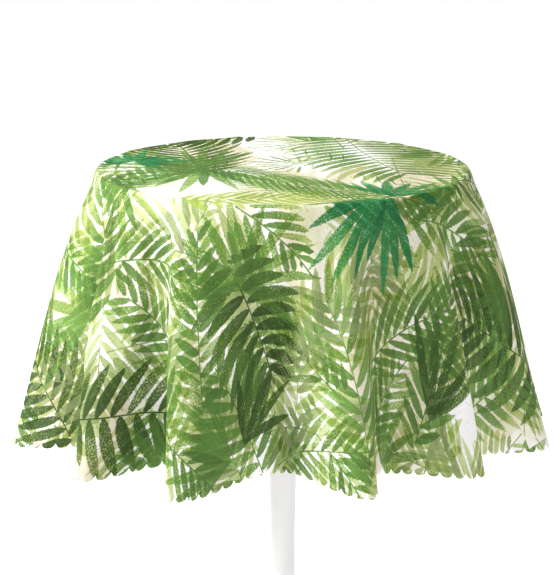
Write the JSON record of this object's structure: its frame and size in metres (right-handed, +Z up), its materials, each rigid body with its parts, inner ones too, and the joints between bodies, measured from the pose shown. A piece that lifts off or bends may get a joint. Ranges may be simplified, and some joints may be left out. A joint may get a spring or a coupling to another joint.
{
  "type": "tablecloth on a pedestal table",
  "caption": "Round palm-leaf print tablecloth with a scalloped hem, hanging in deep folds over a bar-height round table on a slim white column and a low conical base.",
  "frame": {"origin": "on the floor, on the column's axis, which is the middle of the object's box", "axes": "+Z up along the column, -Y towards the front"},
  "size_m": [0.884, 0.8048, 1.0681],
  "materials": {
    "printed_cloth": "printed vinyl face with a fine weave emboss, on white flannel",
    "white_laminate": "fine matt laminate",
    "brown_backer": "plain balancing sheet",
    "board": "raw fibreboard",
    "edging": "smooth extruded moulding",
    "white_coat": "white powder coat",
    "black_steel": "black powder coat",
    "cast_iron": "painted sand casting",
    "bright_steel": "bright zinc plate",
    "grey_plastic": "moulded polyethylene"
  },
  "bodies": {
    "table": {"tabletop_laminate": "white_laminate", "tabletop_core": "board", "tabletop_backer": "brown_backer", "tabletop_edge_band": "edging", "spider_plate": "black_steel", "spider_socket": "black_steel", "spider_screw_1": "bright_steel", "spider_screw_2": "bright_steel", "spider_screw_3": "bright_steel", "spider_screw_4": "bright_steel", "column_tube": "white_coat", "column_collar": "white_coat", "collar_set_screw": "bright_steel", "tie_rod": "bright_steel", "tie_rod_top_washer": "bright_steel", "tie_rod_top_nut": "bright_steel", "tie_rod_bottom_washer": "bright_steel", "tie_rod_bottom_nut": "bright_steel", "base_weight": "cast_iron", "base_cover": "white_coat", "base_edge_trim": "grey_plastic"},
    "cloth": {"tablecloth": "printed_cloth"},
    "foot_1": {"foot_stud_1": "bright_steel", "foot_pad_1": "grey_plastic"},
    "foot_2": {"foot_stud_2": "bright_steel", "foot_pad_2": "grey_plastic"},
    "foot_3": {"foot_stud_3": "bright_steel", "foot_pad_3": "grey_plastic"},
    "foot_4": {"foot_stud_4": "bright_steel", "foot_pad_4": "grey_plastic"}
  },
  "joints": [
    {"name": "cloth_lift", "type": "slide", "parent": "table", "child": "cloth", "axis": [0, 0, 1], "range_m": [0, 0.46]},
    {"name": "foot_1_level", "type": "slide", "parent": "table", "child": "foot_1", "axis": [0, 0, -1], "range_m": [0, 0.01]},
    {"name": "foot_2_level", "type": "slide", "parent": "table", "child": "foot_2", "axis": [0, 0, -1], "range_m": [0, 0.01]},
    {"name": "foot_3_level", "type": "slide", "parent": "table", "child": "foot_3", "axis": [0, 0, -1], "range_m": [0, 0.01]},
    {"name": "foot_4_level", "type": "slide", "parent": "table", "child": "foot_4", "axis": [0, 0, -1], "range_m": [0, 0.01]}
  ]
}
